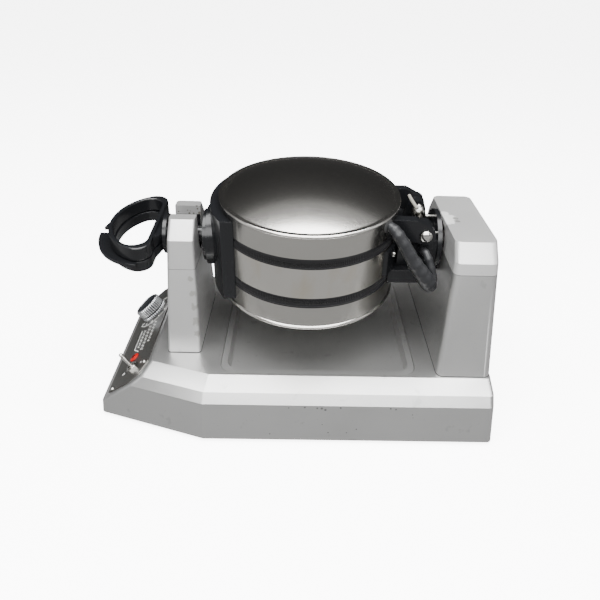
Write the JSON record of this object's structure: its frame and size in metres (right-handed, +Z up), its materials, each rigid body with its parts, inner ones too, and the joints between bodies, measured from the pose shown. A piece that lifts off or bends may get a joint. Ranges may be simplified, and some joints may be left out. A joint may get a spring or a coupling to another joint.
{
  "type": "rotating waffle maker",
  "caption": "Double waffle maker whose round stainless baking head turns over between a forked front post and a wide rear post on a cast base with drip tray and sloping controls.",
  "frame": {"origin": "on the plane of the feet, straight below the centre of the baking head", "axes": "+Z up, -Y towards the control panel and handle, +Y along the head's turning axis towards the rear post, +X to the right of someone who stands at the back"},
  "size_m": [0.288, 0.468, 0.2741],
  "materials": {
    "cast_paint": "silver-grey paint on cast aluminium",
    "stainless": "polished stainless sheet",
    "zinc": "plated steel hardware",
    "nonstick": "cast aluminium with dark non-stick coating",
    "phenolic": "heat-resisting black plastic",
    "panel_grey": "grey metallic panel with white graduation",
    "knob_silver": "silver fluted plastic",
    "knob_dark": "dark cap disc",
    "lamp_red": "translucent red lens",
    "white_plastic": "insulating moulding",
    "rubber": "black rubber",
    "conduit": "glass-silicone sleeving",
    "heater": "sheathed heating rod",
    "board": "printed circuit board",
    "grey_plate": "grey painted sheet"
  },
  "bodies": {
    "base": {"base_housing": "cast_paint", "bottom_plate": "grey_plate", "rubber_feet": "rubber", "foot_screws": "zinc", "control_panel": "panel_grey", "panel_screws": "zinc", "thermostat_body": "white_plastic", "lamp_lens": "lamp_red", "lamp_body": "white_plastic", "switch_body": "phenolic", "switch_nut": "zinc", "terminal_block": "white_plastic", "control_board": "board", "cord_gland": "rubber", "front_post": "cast_paint", "fork_head": "cast_paint", "fork_liner": "phenolic", "rear_post": "cast_paint", "rear_post_cap": "cast_paint", "rear_cover": "grey_plate", "rear_cover_screws": "zinc", "bearing_housing": "zinc", "bearing_screws": "zinc", "post_screws": "zinc"},
    "tray": {"drip_tray": "stainless"},
    "knob": {"knob_body": "knob_silver", "knob_face": "knob_dark"},
    "lever": {"switch_lever": "zinc"},
    "head": {"head_shaft": "zinc", "hub_flange": "phenolic", "shaft_ring": "zinc", "hinge_block": "phenolic", "block_screws": "zinc", "middle_band": "stainless", "middle_upper_grid": "nonstick", "middle_lower_grid": "nonstick", "middle_heaters": "heater", "hinge_pins": "zinc", "pin_screws": "stainless", "top_spring": "zinc", "bottom_spring": "zinc", "top_conduit": "conduit", "bottom_conduit": "conduit", "conduit_ferrules": "phenolic"},
    "upper_lid": {"top_cover": "stainless", "top_grid": "nonstick", "top_heater": "heater", "top_arms": "phenolic", "top_bracket": "phenolic", "top_handle": "phenolic"},
    "lower_lid": {"bottom_cover": "stainless", "bottom_grid": "nonstick", "bottom_heater": "heater", "bottom_arms": "phenolic", "bottom_bracket": "phenolic", "bottom_handle": "phenolic"}
  },
  "joints": [
    {"name": "head_flip", "type": "hinge", "parent": "base", "child": "head", "pos_m": [0, 0.17, 0.193], "axis": [0, 1, 0], "range_deg": [-4.5, 175.5]},
    {"name": "upper_lid", "type": "hinge", "parent": "head", "child": "upper_lid", "pos_m": [0.00235, 0.131, 0.22291], "axis": [0.9969, 0, -0.0785], "range_deg": [-95, 0], "deforming": ["top_conduit", "top_spring"]},
    {"name": "lower_lid", "type": "hinge", "parent": "head", "child": "lower_lid", "pos_m": [-0.00204, 0.134, 0.16708], "axis": [0.9969, 0, -0.0785], "range_deg": [0, 1], "deforming": ["bottom_conduit", "bottom_spring"]},
    {"name": "browning_knob", "type": "hinge", "parent": "base", "child": "knob", "pos_m": [-0.045, -0.20523, 0.04985], "axis": [0, -0.6428, 0.766], "range_deg": [0, 270]},
    {"name": "switch_lever", "type": "hinge", "parent": "base", "child": "lever", "pos_m": [0.0765, -0.20779, 0.05058], "axis": [0, 0.766, 0.6428], "range_deg": [0, 20]},
    {"name": "drip_tray", "type": "slide", "parent": "base", "child": "tray", "axis": [0, 0, 1], "range_m": [0, 0.03]}
  ]
}
